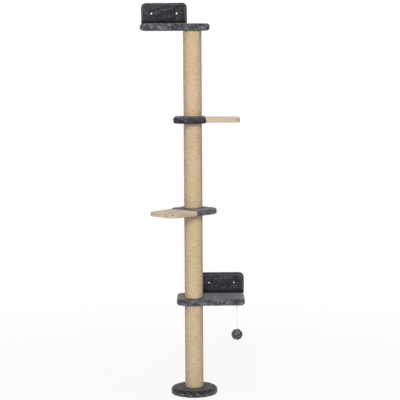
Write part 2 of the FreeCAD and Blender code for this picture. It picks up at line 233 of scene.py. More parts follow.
class Paint:
    """The node tree of one material, or of the surroundings."""

    def __init__(self, owner: Material | bpy.types.World) -> None:
        """Empties the tree.

        Args:
            owner: What holds the tree.
        """
        owner.use_nodes = True
        self.owner = owner
        self.tree = owner.node_tree
        self.tree.nodes.clear()

    @classmethod
    def named(cls, name: str) -> "Paint":
        """Returns the paint of a new material."""
        return cls(bpy.data.materials.new(name))

    def add(
        self,
        kind: str,
        settings: Mapping[str, Any] | None = None,
        inputs: Mapping[str | int, Any] | None = None,
    ) -> bpy.types.Node:
        """Adds a node to the tree.

        Args:
            kind: The node's type.
            settings: The node's own settings, which are set first.
            inputs: The value or link of each socket that differs from its default.

        Returns:
            The node.
        """
        made = self.tree.nodes.new(kind)
        for name, value in (settings or {}).items():
            setattr(made, name, value)
        for name, value in (inputs or {}).items():
            self.feed(made.inputs[name], value)
        return made

    def node(
        self,
        kind: str,
        settings: Mapping[str, Any] | None = None,
        inputs: Mapping[str | int, Any] | None = None,
        output: str | int = 0,
    ) -> Signal:
        """Adds a node and returns the chosen one of its outputs."""
        return Signal(self, self.add(kind, settings, inputs).outputs[output])

    def feed(self, socket: bpy.types.NodeSocket, value: Any) -> None:
        """Links a signal to a socket, or sets the socket's own value.

        Args:
            socket: The input socket.
            value: A signal, a number, a vector or a linear colour.
        """
        if isinstance(value, Signal):
            self.tree.links.new(value.socket, socket)
        elif socket.type == "RGBA":
            socket.default_value = (*value, 1.0)
        else:
            socket.default_value = value

    def maths(self, operation: str, *values: Signal | float) -> Signal:
        """Returns the result of a Math node on the values."""
        return self.node("ShaderNodeMath", {"operation": operation}, dict(enumerate(values)))

    def place(self, turn: float = 0.0) -> Signal:
        """Gives the point on the object, in metres, as if a turn about the post were undone.

        Args:
            turn: The turn in degrees.

        Returns:
            The point as a vector.
        """
        point = self.node("ShaderNodeTexCoord", output="Object")
        if not turn:
            return point
        return self.node(
            "ShaderNodeMapping",
            {"vector_type": "POINT"},
            {"Vector": point, "Rotation": (0.0, 0.0, math.radians(-turn))},
        )

    def stretched(self, vector: Signal, by: Scales) -> Signal:
        """Returns the vector with each of its three parts multiplied by a number."""
        return self.node("ShaderNodeVectorMath", {"operation": "MULTIPLY"}, {0: vector, 1: by})

    def mark(self, name: str) -> Signal:
        """Returns the number that the mesh keeps under a name for each point."""
        return self.node("ShaderNodeAttribute", {"attribute_name": name}, output="Fac")

    def parts(self, vector: Signal) -> tuple[Signal, Signal, Signal]:
        """Returns the three parts of a vector."""
        first = self.node("ShaderNodeSeparateXYZ", inputs={0: vector})
        return first, first.pick("Y"), first.pick("Z")

    def cloud(
        self, vector: Signal, per_metre: float | Scales, detail: float = 2.0, rough: float = 0.6
    ) -> Signal:
        """Gives soft noise from 0 to 1.

        Args:
            vector: The place.
            per_metre: How many blotches stand in a metre, in all or along each axis.
            detail: How many finer layers are added.
            rough: How strong the finer layers are.

        Returns:
            The noise.
        """
        if isinstance(per_metre, tuple):
            vector, per_metre = self.stretched(vector, per_metre), 1.0
        return self.node(
            "ShaderNodeTexNoise",
            inputs={"Vector": vector, "Scale": per_metre, "Detail": detail, "Roughness": rough},
        )

    def ramp(self, value: Signal, span: Span) -> Signal:
        """Gives a smooth step over a span of values.

        Args:
            value: The value.
            span: Where the step starts and ends, and it falls where the end is the lower one.

        Returns:
            0 before the span and 1 beyond it.
        """
        low, high = span
        return self.node(
            "ShaderNodeMapRange",
            {"interpolation_type": "SMOOTHSTEP"},
            {"Value": value, "From Min": low, "From Max": high},
        )

    def mix(self, factor: Signal | float, low: Any, high: Any) -> Signal:
        """Gives a colour between two colours.

        Args:
            factor: 0 for the first colour and 1 for the second.
            low: The first colour or signal.
            high: The second colour or signal.

        Returns:
            The mixed colour.
        """
        first, second, result = 6, 7, 2
        return self.node(
            "ShaderNodeMix",
            {"data_type": "RGBA"},
            {0: factor, first: low, second: high},
            result,
        )

    def bump(self, height: Signal, depth: float, strength: float) -> Signal:
        """Gives the normal of a surface with a relief.

        Args:
            height: The relief, from 0 to 1.
            depth: The relief's depth in metres.
            strength: How strongly it shows.

        Returns:
            The normal.
        """
        return self.node(
            "ShaderNodeBump", inputs={"Strength": strength, "Distance": depth, "Height": height}
        )

    def finish(self, **sockets: Any) -> Material:
        """Adds the surface shader and the output.

        Args:
            sockets: The shader's sockets by name, with underscores for spaces.

        Returns:
            The finished material.
        """
        named = {name.replace("_", " "): value for name, value in sockets.items()}
        return self.put_out(self.node("ShaderNodeBsdfPrincipled", inputs=named))

    def put_out(
        self, surface: Signal, kind: str = "ShaderNodeOutputMaterial"
    ) -> Material | bpy.types.World:
        """Links a shader to an output node.

        Args:
            surface: The shader.
            kind: The type of the output node.

        Returns:
            What holds the tree.
        """
        self.add(kind, inputs={"Surface": surface})
        return self.owner

    def seen(self) -> Signal:
        """Tells what the camera, gloss or glass sees from what only lights.

        Returns:
            1 for what is seen, and 0 for what only lights.
        """
        rays = self.node("ShaderNodeLightPath", output="Is Camera Ray")
        direct = rays.apply("MAXIMUM", rays.pick("Is Glossy Ray"))
        return direct.apply("MAXIMUM", rays.pick("Is Transmission Ray"))


@dataclass(frozen=True)
class Plush:
    """Short grey pile, brushed one way here and the other way there."""

    name: str
    dark: Colour
    middle: Colour
    light: Colour
    mottle: float = 0.62
    tufts: float = 1.3
    sheen: float = 0.25
    pile_per_metre: float = 520.0
    tuft_per_metre: float = 125.0
    pile_depth: float = 1.1 * MM
    usual_lie: float = 0.4
    stray_hairs: float = 0.7
    middle_span: Span = (-0.1, 0.6)
    light_span: Span = (0.35, 1.05)
    pile_share: float = 0.55

    def make(self) -> Material:
        """Makes the pile, which reads how it lies from the mesh that wears it.

        Returns:
            The material.
        """
        paint = Paint.named(self.name)
        place = paint.place()
        pile = paint.cloud(place, self.pile_per_metre, detail=3.0, rough=0.65)
        tuft = paint.cloud(place, self.tuft_per_metre)
        crush, wear = paint.mark(Pad.CRUSH), paint.mark(Pad.PAINTED_SHADING)
        # The pile's colour also takes the painted light and shade that the mesh keeps at each point.
        lie = self.usual_lie + crush.centred() * self.mottle + tuft.centred() * self.tufts + wear
        colour = paint.mix(paint.ramp(lie, self.middle_span), self.dark, self.middle)
        hairs = lie + pile.centred() * self.stray_hairs
        colour = paint.mix(paint.ramp(hairs, self.light_span), colour, self.light)
        relief = paint.bump(pile.blend(tuft, self.pile_share), self.pile_depth, strength=0.8)
        return paint.finish(
            Base_Color=colour,
            Roughness=0.95,
            Specular_IOR_Level=0.15,
            Sheen_Weight=self.sheen,
            Sheen_Roughness=0.45,
            Normal=relief,
        )


@dataclass(frozen=True)
class Sisal:
    """Three-strand sisal rope, laid out along the winding by its map of length and girth."""

    name: str
    shade: Colour
    body: Colour
    fibre: Colour
    lay: float = 13 * MM
    strands: int = 3
    relief: float = 0.5 * MM
    streaks_per_metre: Scales = (34.0, 1.0, 0.0)
    hairs_per_metre: Scales = (260.0, 260.0, 900.0)
    patches_per_metre: float = 12.0
    streak_share: float = 0.85
    tint_span: Span = (0.22, 0.78)
    hair_span: Span = (0.58, 0.8)
    groove_shade: float = 0.5
    hair_gleam: float = 0.5
    strand_share: float = 0.7

    def make(self) -> Material:
        """Makes the rope: pale strands with painted shade in the grooves between them, streaks and stray
        hairs.

        Returns:
            The material.
        """
        paint = Paint.named(self.name)
        mapped = paint.node("ShaderNodeUVMap", {"uv_map": Winding.MAP})
        along, round_it, _ = paint.parts(mapped)
        twist = (along * (1 / self.lay) + round_it) * (math.pi * self.strands)
        strand = twist.sine().size()
        place = paint.place()
        streak = paint.cloud(mapped, self.streaks_per_metre, detail=3.0)
        patch = paint.cloud(place, self.patches_per_metre, rough=0.5)
        hair = paint.cloud(place, self.hairs_per_metre, detail=3.0, rough=0.7)
        tint = paint.ramp(streak.blend(patch, self.streak_share), self.tint_span)
        colour = paint.mix(tint, self.body, self.fibre)
        # Painted shade in the grooves between the strands.
        colour = paint.mix((1 - strand) * self.groove_shade, colour, self.shade)
        gleam = paint.ramp(hair, self.hair_span) * self.hair_gleam
        colour = paint.mix(gleam, colour, self.fibre)
        relief = paint.bump(strand.blend(hair, self.strand_share), self.relief, strength=0.9)
        return paint.finish(
            Base_Color=colour,
            Roughness=0.7,
            Specular_IOR_Level=0.03,
            Normal=relief,
        )


@dataclass(frozen=True)
class Pine:
    """Pale, unvarnished pine, sawn along the trunk, with its rings cut by each face."""

    name: str
    early: Colour
    late: Colour
    knot: Colour
    turn: float
    level: float
    heart: Pair
    knots: tuple[Vector, ...]
    ring: float = 3.4 * MM
    drift_per_metre: Scales = (5.0, 22.0, 22.0)
    drift_reach: float = 12 * MM
    pores_per_metre: Scales = (55.0, 900.0, 900.0)
    broad_per_metre: Scales = (6.0, 30.0, 30.0)
    knot_squeeze: float = 0.6
    knot_pull: float = 10 * MM
    pull_span: Span = (26 * MM, 4 * MM)
    eye_span: Span = (3.6 * MM, 1.8 * MM)
    late_span: Span = (0.35, 0.95)
    early_span: Span = (0.95, 1.0)
    pore_span: Span = (0.5, 0.8)
    broad_span: Span = (0.35, 0.75)
    late_depth: float = 0.75
    pore_depth: float = 0.3
    broad_depth: float = 0.5
    eye_depth: float = 0.9
    pore_share: float = 0.7
    relief: float = 0.15 * MM
    smoothest: float = 0.62
    pore_roughness: float = 0.12

    def make(self) -> Material:
        """Makes the wood: rings about the trunk's heart, pores, broad streaks and dark knots.

        Returns:
            The material.
        """
        paint = Paint.named(self.name)
        place = paint.place(self.turn)
        along, across, up = paint.parts(place)
        bent = paint.cloud(place, self.drift_per_metre, rough=0.5) * self.drift_reach
        dark_eye: Signal | None = None
        for knot in self.knots:
            near = ((along - knot.x) * self.knot_squeeze) ** 2
            near = near + ((across - knot.y) * self.knot_squeeze) ** 2
            near = (near + (up - (self.level + knot.z)) ** 2).root()
            bent = bent + paint.ramp(near, self.pull_span) * self.knot_pull
            eye = paint.ramp(near, self.eye_span)
            dark_eye = eye if dark_eye is None else dark_eye.apply("MAXIMUM", eye)
        side, depth = self.heart
        reach = ((across - side) ** 2 + (up - (self.level + depth)) ** 2).root() + bent
        ring = (reach * (1 / self.ring)).fraction()
        late = paint.ramp(ring, self.late_span) * (1 - paint.ramp(ring, self.early_span))
        pores = paint.cloud(place, self.pores_per_metre)
        broad = paint.cloud(place, self.broad_per_metre, rough=0.5)
        grain = late * self.late_depth + paint.ramp(pores, self.pore_span) * self.pore_depth
        colour = paint.mix(grain, self.early, self.late)
        colour = paint.mix(paint.ramp(broad, self.broad_span) * self.broad_depth, colour, self.late)
        if dark_eye is not None:
            colour = paint.mix(dark_eye * self.eye_depth, colour, self.knot)
        relief = paint.bump(pores.blend(late, self.pore_share), self.relief, strength=0.5)
        return paint.finish(
            Base_Color=colour,
            Roughness=self.smoothest + self.pore_roughness * pores,
            Specular_IOR_Level=0.35,
            Normal=relief,
        )


@dataclass(frozen=True)
class Grained:
    """A plain stuff whose colour and relief vary in blotches, such as chipboard, paper or wadding."""

    name: str
    dark: Colour
    light: Colour
    blotches_per_metre: Scales
    roughness: float
    metallic: float = 0.0
    relief: float = 0.2 * MM
    uneven: float = 0.1
    finer: float = 4.0
    coarse_share: float = 0.6
    light_span: Span = (0.35, 0.65)

    def make(self) -> Material:
        """Makes the stuff, with blotches of two sizes between its two tones.

        Returns:
            The material.
        """
        paint = Paint.named(self.name)
        place = paint.place()
        coarse = paint.cloud(place, self.blotches_per_metre, detail=3.0)
        fine = paint.cloud(place, tuple(self.finer * scale for scale in self.blotches_per_metre))
        light = paint.ramp(coarse.blend(fine, self.coarse_share), self.light_span)
        return paint.finish(
            Base_Color=paint.mix(light, self.dark, self.light),
            Roughness=self.roughness + self.uneven * fine.centred(),
            Metallic=self.metallic,
            Normal=paint.bump(fine, self.relief, strength=0.5),
        )


@dataclass(frozen=True)
class TwistedCord:
    """White cord of two twisted strands that hangs down a vertical line."""

    name: str
    dark: Colour
    light: Colour
    axis: Pair
    lay: float = 6 * MM
    fluff_per_metre: float = 2500.0
    strand_share: float = 0.7
    relief: float = 0.3 * MM
    relief_share: float = 0.8

    def make(self) -> Material:
        """Makes the cord, with two strands that turn about its line, painted shade in the groove between
        them, and some fluff.

        Returns:
            The material.
        """
        paint = Paint.named(self.name)
        place = paint.place()
        right, back, up = paint.parts(place)
        angle = paint.maths("ARCTAN2", back - self.axis[1], right - self.axis[0])
        strand = (up * (FULL_TURN / self.lay) + angle).sine().size()
        fluff = paint.cloud(place, self.fluff_per_metre)
        # Painted shade: darker in the groove where the two strands meet.
        colour = paint.mix(strand.blend(fluff, self.strand_share), self.dark, self.light)
        return paint.finish(
            Base_Color=colour,
            Roughness=0.85,
            Sheen_Weight=0.2,
            Normal=paint.bump(strand.blend(fluff, self.relief_share), self.relief, strength=0.8),
        )


class Palette:
    """The finishes of this climbing post."""

    def __init__(self) -> None:
        """Makes every material once."""
        string = middle_of("toy_string")
        self.cover = Plush("shelf_pile", tone(34, 34, 37), tone(74, 74, 79), tone(128, 128, 134)).make()
        self.plate = Plush(
            "plate_pile", tone(28, 28, 31), tone(58, 58, 63), tone(100, 100, 107), mottle=0.4
        ).make()
        self.base = Plush(
            "base_pile", tone(26, 26, 28), tone(60, 60, 64), tone(116, 116, 122), mottle=0.55, tufts=1.6
        ).make()
        self.ball = Plush(
            "ball_pile", tone(26, 26, 29), tone(78, 78, 82), tone(152, 152, 157), mottle=0.9
        ).make()
        self.sisal = Sisal(
            "rope_fibre", tone(142, 100, 58), tone(202, 177, 135), tone(235, 220, 193)
        ).make()
        self.string = TwistedCord(
            "twisted_cotton", tone(205, 205, 206), tone(246, 246, 247), (string.x, string.y)
        ).make()
        self.slots: dict[Slot, Material] = {
            Slot.GREY_PLUSH: self.cover,
            Slot.BALL_PLUSH: self.ball,
            Slot.SISAL: self.sisal,
            Slot.WHITE_STRING: self.string,
            Slot.ZINC_STEEL: Grained(
                "zinc_coat", tone(150, 150, 146), tone(190, 190, 186), (60.0, 60.0, 60.0), 0.38,
                metallic=0.9, relief=0.05 * MM,
            ).make(),
        }
        plain = (
            (Slot.CORE_BOARD, "chipboard", (150, 122, 88), (196, 170, 132), (240.0, 240.0, 240.0), 0.85),
            (Slot.PLUG_WOOD, "turned_wood", (170, 140, 100), (206, 180, 140), (200.0, 200.0, 20.0), 0.7),
            (Slot.WOUND_TUBE, "kraft_paper", (140, 112, 80), (176, 148, 112), (30.0, 30.0, 160.0), 0.85),
            (Slot.FOOT_PAD, "foot_rubber", (34, 34, 36), (52, 52, 54), (300.0, 300.0, 300.0), 0.8),
            (Slot.WADDING, "white_fluff", (205, 204, 200), (238, 238, 235), (160.0, 160.0, 160.0), 0.95),
        )
        for slot, name, dark, light, blotches, roughness in plain:
            self.slots[slot] = Grained(name, tone(*dark), tone(*light), blotches, roughness).make()

    def pine(
        self, name: str, turn: float, level: float, heart: Pair, knots: tuple[Vector, ...]
    ) -> Material:
        """Makes the pine of one step's board.

        Args:
            name: The material's name.
            turn: The board's turn about the post, in degrees.
            level: The height of the board's middle.
            heart: Where the trunk's heart lies, across from the post and up from the board.
            knots: Where knots lie: along and across the board, and up from its middle.

        Returns:
            The material.
        """
        early, late, knot = tone(213, 201, 179), tone(160, 132, 98), tone(108, 74, 48)
        return Pine(name, early, late, knot, turn, level, heart, knots).make()


@dataclass
class Model:
    """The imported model: its nodes, its mounts and the finishes that it wears."""

    nodes: Mapping[str, Object]
    record: Mapping[str, Any]
    palette: Palette

    def dress(self, node: str, material: Material) -> None:
        """Gives a node its material.

        Args:
            node: The node's name.
            material: The material that fills its slots.
        """
        for slot in self.nodes[node].material_slots:
            slot.material = material
        LOG.info("%s is dressed in %s", node, material.name)

    def dress_all(self) -> None:
        """Gives every node the finish of its slot, where the slot has one."""
        for part in self.record["subparts"]:
            material = self.palette.slots.get(Slot(part["material_slot"]))
            if material is not None:
                self.dress(part["node"], material)

    def hole_pair(self, mount: str) -> list[Vector]:
        """Gives the middles of the two holes of a mount, on its face.

        Args:
            mount: The mount's name.

        Returns:
            The two places.
        """
        found = next(m for m in self.record["mounts"] if m["name"] == mount)
        half = Vector((found["dims"]["spacing_x_mm"] * MM / 2, 0, 0))
        return [Vector(found["pos_m"]) + hand * half for hand in (-1, 1)]

    def rope_edge(self) -> float:
        """Returns how far the wound rope reaches from the middle of the post."""
        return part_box("post_1_sisal")[1].x


def carry(piece: Object, body: Body, slot: Slot, *nodes: str) -> Object:
    """Makes a piece ride on a body, and hides the nodes of the frame that it stands for.

    Args:
        piece: The piece.
        body: The body that it moves with.
        slot: The record's slot that it takes its finish from; it is not used.
        nodes: The nodes of the frame that it replaces.

    Returns:
        The piece.
    """
    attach(piece, body.value)
    if nodes:
        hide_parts(*nodes)
    LOG.info("%s rides on %s", piece.name, body.value)
    return piece


def add_object(name: str, data: bpy.types.ID) -> Object:
    """Adds an object to the scene.

    Args:
        name: The object's name.
        data: What it shows, such as a mesh, a curve or a lamp.

    Returns:
        The object.
    """
    made = bpy.data.objects.new(name, data)
    bpy.context.scene.collection.objects.link(made)
    return made


def mesh_object(
    name: str,
    points: Sequence[Sequence[float]],
    faces: Sequence[Sequence[int]],
    material: Material,
) -> Object:
    """Makes a smooth-shaded object from points and faces.

    Args:
        name: The object's name.
        points: The corners of its faces, in metres.
        faces: The faces, as numbers of points.
        material: Its material.

    Returns:
        The object.
    """
    mesh = bpy.data.meshes.new(name)
    mesh.from_pydata([tuple(p) for p in points], [], [tuple(f) for f in faces])
    mesh.shade_smooth()
    mesh.materials.append(material)
    return add_object(name, mesh)


def split_large(mesh: bpy.types.Mesh) -> None:
    """Splits the faces of more than four sides into well-shaped triangles.

    Args:
        mesh: The mesh.
    """
    shape = bmesh.new()
    shape.from_mesh(mesh)
    large = [face for face in shape.faces if len(face.verts) > 4]
    bmesh.ops.triangulate(shape, faces=large, ngon_method="BEAUTY")
    shape.to_mesh(mesh)
    shape.free()


def push_out(piece: Object, heights: Sequence[float]) -> None:
    """Moves each point of a mesh along its normal.

    Args:
        piece: The object.
        heights: The distance in metres for each point.
    """
    mesh = piece.data
    moved = [v.co + v.normal * height for v, height in zip(mesh.vertices, heights)]
    for vertex, place in zip(mesh.vertices, moved):
        vertex.co = place
    mesh.update()


def store(piece: Object, name: str, values: Sequence[float]) -> None:
    """Keeps one number for each point of a mesh.

    Args:
        piece: The object.
        name: The number's name.
        values: The numbers.
    """
    layer = piece.data.attributes.new(name, "FLOAT", "POINT")
    layer.data.foreach_set("value", list(values))


def bore(piece: Object, start: Vector, end: Vector, radius: float) -> None:
    """Cuts a round hole through a mesh.

    Args:
        piece: The object to cut.
        start: One end of the hole's axis, outside the piece.
        end: The other end, outside the piece.
        radius: The hole's radius.
    """
    sides, axis = 32, end - start
    turn = axis.to_track_quat("Z", "Y").to_matrix().to_4x4()
    cutter_mesh = bpy.data.meshes.new("cutter")
    shape = bmesh.new()
    bmesh.ops.create_cone(
        shape, cap_ends=True, segments=sides, radius1=radius, radius2=radius, depth=axis.length,
        matrix=Matrix.Translation((start + end) / 2) @ turn,
    )
    shape.to_mesh(cutter_mesh)
    shape.free()
    cutter = add_object("cutter", cutter_mesh)
    cut = piece.modifiers.new("bore", "BOOLEAN")
    cut.operation, cut.solver, cut.object = "DIFFERENCE", "EXACT", cutter
    finished = bpy.data.meshes.new_from_object(
        piece.evaluated_get(bpy.context.evaluated_depsgraph_get())
    )
    piece.modifiers.clear()
    old = piece.data
    piece.data = finished
    bpy.data.meshes.remove(old)
    bpy.data.objects.remove(cutter)
    bpy.data.meshes.remove(cutter_mesh)


def patches(point: Vector, drift: Vector, brushed: float = 1.0) -> float:
    """Tells how the pile lies at a point: in patches with fairly sharp borders.

    Args:
        point: The point.
        drift: A shift that gives each piece its own patches.
        brushed: How long the patches are along X, as a share of their breadth turned over.

    Returns:
        From 0, where the pile leans away and looks dark, to 1, where it catches the light.
    """
    bends_per_metre, bend = 34, 12 * MM
    broad_per_metre, small_per_metre = 62, 170
    broad_weight, small_weight = 0.6, 0.45
    place = Vector((point.x * brushed, point.y, point.z)) + drift
    place += noise.noise_vector(place * bends_per_metre) * bend
    broad, small = noise.noise(place * broad_per_metre), noise.noise(place * small_per_metre)
    lie = 0.5 + broad_weight * broad + small_weight * small
    return min(max(lie, 0.0), 1.0)


@dataclass
class Pad:
    """A padded slab, made of like outlines that run round its edge from one face to the other.

    The slab lies flat, from low to high, and is turned into place afterwards. Its corners are
    given as radii, from the one at high X and high Y on, against the clock.
    """

    CRUSH = "crush"
    # Each point also keeps its painted light and shade: painted shade by the posts, in creases, round
    # holes and along rims, painted light down the base's side and along seams, the lighter hem of each
    # sleeve, and each piece's own shade.
    PAINTED_SHADING = "wear"

    name: str
    low: Vector
    high: Vector
    corners: tuple[float, float, float, float]
    edge: float = 8.0 * MM
    grid: float = 2.6 * MM
    crown: float = 0.8 * MM
    seam: float = 0.0
    seam_depth: float = 1.0 * MM
    seam_width: float = 0.9 * MM
    # A painted highlight: how much lighter the pile is painted along the seam's fold.
    seam_highlight: float = 0.3
    seam_rows: tuple[float, ...] = (-1.4, -0.6, 0.0, 0.6, 1.4)
    pile: float = 0.35 * MM
    piles_per_metre: float = 420.0
    lumps: float = 1.3 * MM
    brushed: float = 0.5
    patch_size: float = 1.0
    patch_spread: float = 7.0
    foot_edge: float = 8.0 * MM
    corner_steps: int = 12
    edge_steps: int = 7
    least_radius: float = 1.2 * MM

    @property
    def middle(self) -> Vector:
        """Returns the slab's middle."""
        return (self.low + self.high) / 2

    @property
    def half(self) -> Vector:
        """Returns half of the slab's length, breadth and thickness."""
        return (self.high - self.low) / 2

    def outline(self, inset: float) -> list[Pair]:
        """Gives the slab's outline, moved inwards.

        Args:
            inset: How far it is moved inwards.

        Returns:
            Its points, as many at every inset.
        """
        middle, half = self.middle, self.half
        x, y = half.x - inset, half.y - inset
        hands = ((1, 1), (-1, 1), (-1, -1), (1, -1))
        points: list[Pair] = []
        for number, (hand_x, hand_y) in enumerate(hands):
            other = (number + 1) % len(hands)
            radius = max(self.corners[number] - inset, self.least_radius)
            length = 2 * (half.y if number % 2 else half.x) - self.corners[number] - self.corners[other]
            steps = max(round(length / self.grid), 1) if length > self.least_radius else 0
            centre = Vector((hand_x * (x - radius), hand_y * (y - radius)))
            for step in range(self.corner_steps + (1 if steps else 0)):
                angle = QUARTER_TURN * (number + step / self.corner_steps)
                points.append((centre.x + radius * math.cos(angle), centre.y + radius * math.sin(angle)))
            following = max(self.corners[other] - inset, self.least_radius)
            angle = QUARTER_TURN * (number + 1)
            end = Vector((hands[other][0] * (x - following), hands[other][1] * (y - following)))
            end += following * Vector((math.cos(angle), math.sin(angle)))
            start = Vector(points[-1])
            points += [tuple(start.lerp(end, n / steps)) for n in range(1, steps)]
        return [(middle.x + px, middle.y + py) for px, py in points]

    def profile(self) -> list[Pair]:
        """Gives the inset and height of each outline, from the middle of the top to that below.

        Returns:
            The insets, each with its height.
        """
        deepest = min(self.half.x, self.half.y) - 2 * self.least_radius
        upper = [(inset, self.high.z - fall) for inset, fall in self.half_profile(deepest, self.edge)]
        lower = [(inset, self.low.z + rise) for inset, rise in self.half_profile(deepest, self.foot_edge)]
        top, bottom = upper[-1][1], lower[-1][1]
        steps = max(round((top - bottom) / self.grid), 1)
        sides = [(0.0, top + (bottom - top) * n / steps) for n in range(1, steps)]
        return upper + sides + lower[::-1]

    def half_profile(self, deepest: float, edge: float) -> list[Pair]:
        """Gives the outlines of one face and its rounded edge.

        Args:
            deepest: The inset of the innermost outline.
            edge: The radius of the edge.

        Returns:
            The inset of each outline and how far it lies from the highest or lowest level.
        """
        edge = min(edge, self.half.z - self.crown)
        flat = max(round((deepest - edge) / self.grid), 2)
        insets = [deepest + (edge - deepest) * n / flat for n in range(flat)]
        if self.seam:
            insets += [self.seam + row * self.seam_width for row in self.seam_rows]
            insets.sort(reverse=True)
        made = [(i, self.crown * (1 - (i - edge) / (deepest - edge)) ** 3) for i in insets]
        for step in range(self.edge_steps + 1):
            angle = QUARTER_TURN * step / self.edge_steps
            made.append((edge * (1 - math.sin(angle)), self.crown + edge * (1 - math.cos(angle))))
        return made

    def inset_at(self, point: Vector) -> float:
        """Tells how far inside the slab's outline a point lies, seen along the slab's height.

        Args:
            point: The point.

        Returns:
            The distance, which is negative outside.
        """
        middle, half = self.middle, self.half
        x, y = point.x - middle.x, point.y - middle.y
        number = (0 if x > 0 else 1) if y > 0 else (3 if x > 0 else 2)
        radius = self.corners[number]
        over_x, over_y = abs(x) - half.x + radius, abs(y) - half.y + radius
        outside = math.hypot(max(over_x, 0.0), max(over_y, 0.0))
        return radius - outside - min(max(over_x, over_y), 0.0)

    def build(
        self,
        material: Material,
        dents: Callable[[Vector, Vector], float],
        wear: Callable[[Vector], float],
        holes: Sequence[tuple[float, float, float]] = (),
    ) -> Object:
        """Makes the slab.

        Args:
            material: Its material.
            dents: Further heights over its surface, from a point and its normal.
            wear: How much lighter the pile is at a point, or darker where it is negative.
            holes: The place and radius of each hole through the slab.

        Returns:
            The object.
        """
        levels = self.profile()
        rings = [[(x, y, z) for x, y in self.outline(inset)] for inset, z in levels]
        count = len(rings[0])
        faces: list[Sequence[int]] = [range(count)]
        for level in range(len(rings) - 1):
            upper, lower = level * count, (level + 1) * count
            for n in range(count):
                after = (n + 1) % count
                faces.append((upper + n, lower + n, lower + after, upper + after))
        faces.append([(len(rings) - 1) * count + n for n in reversed(range(count))])
        piece = mesh_object(self.name, [point for ring in rings for point in ring], faces, material)
        split_large(piece.data)
        thick = self.high.z - self.low.z
        for x, y, radius in holes:
            bore(piece, Vector((x, y, self.low.z - thick)), Vector((x, y, self.high.z + thick)), radius)
        drift = Vector((self.low.z, self.low.x, self.low.y)) * self.patch_spread
        shape = piece.data.vertices
        lies = [patches(v.co / self.patch_size, drift, self.brushed) for v in shape]
        seams = [self.seam_at(v.co) for v in shape]
        store(piece, self.CRUSH, lies)
        # The painted light and shade of each point, with the painted highlight along the seam.
        store(piece, self.PAINTED_SHADING, [wear(v.co) + self.seam_highlight * seam for v, seam in zip(shape, seams)])
        heights = []
        for vertex, lie, seam in zip(shape, lies, seams):
            fine = noise.noise((vertex.co + drift) * self.piles_per_metre) * self.pile
            height = fine + (lie - 0.5) * self.lumps - seam * self.seam_depth
            heights.append(height + dents(vertex.co, vertex.normal))
        push_out(piece, heights)
        return piece

    def seam_at(self, point: Vector) -> float:
        """Tells how near a point is to the seam on the upper face.

        Args:
            point: The point.

        Returns:
            From 0, away from the seam, to 1 on it.
        """
        if not self.seam or point.z < self.middle.z:
            return 0.0
        return bell(self.inset_at(point) - self.seam, self.seam_width)


@dataclass(frozen=True)
class Lamp:
    """A soft square lamp that faces the post."""

    name: str
    place: tuple[float, float, float]
    side: float
    watts: float

    def build(self) -> None:
        """Hangs the lamp, out of the camera's sight."""
        low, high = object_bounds()
        data = bpy.data.lights.new(self.name, "AREA")
        data.size, data.energy = self.side, self.watts
        lamp = add_object(self.name, data)
        lamp.location = self.place
        lamp.visible_camera = False
        aim = (low + high) / 2 - Vector(self.place)
        lamp.rotation_euler = aim.to_track_quat("-Z", "Y").to_euler()


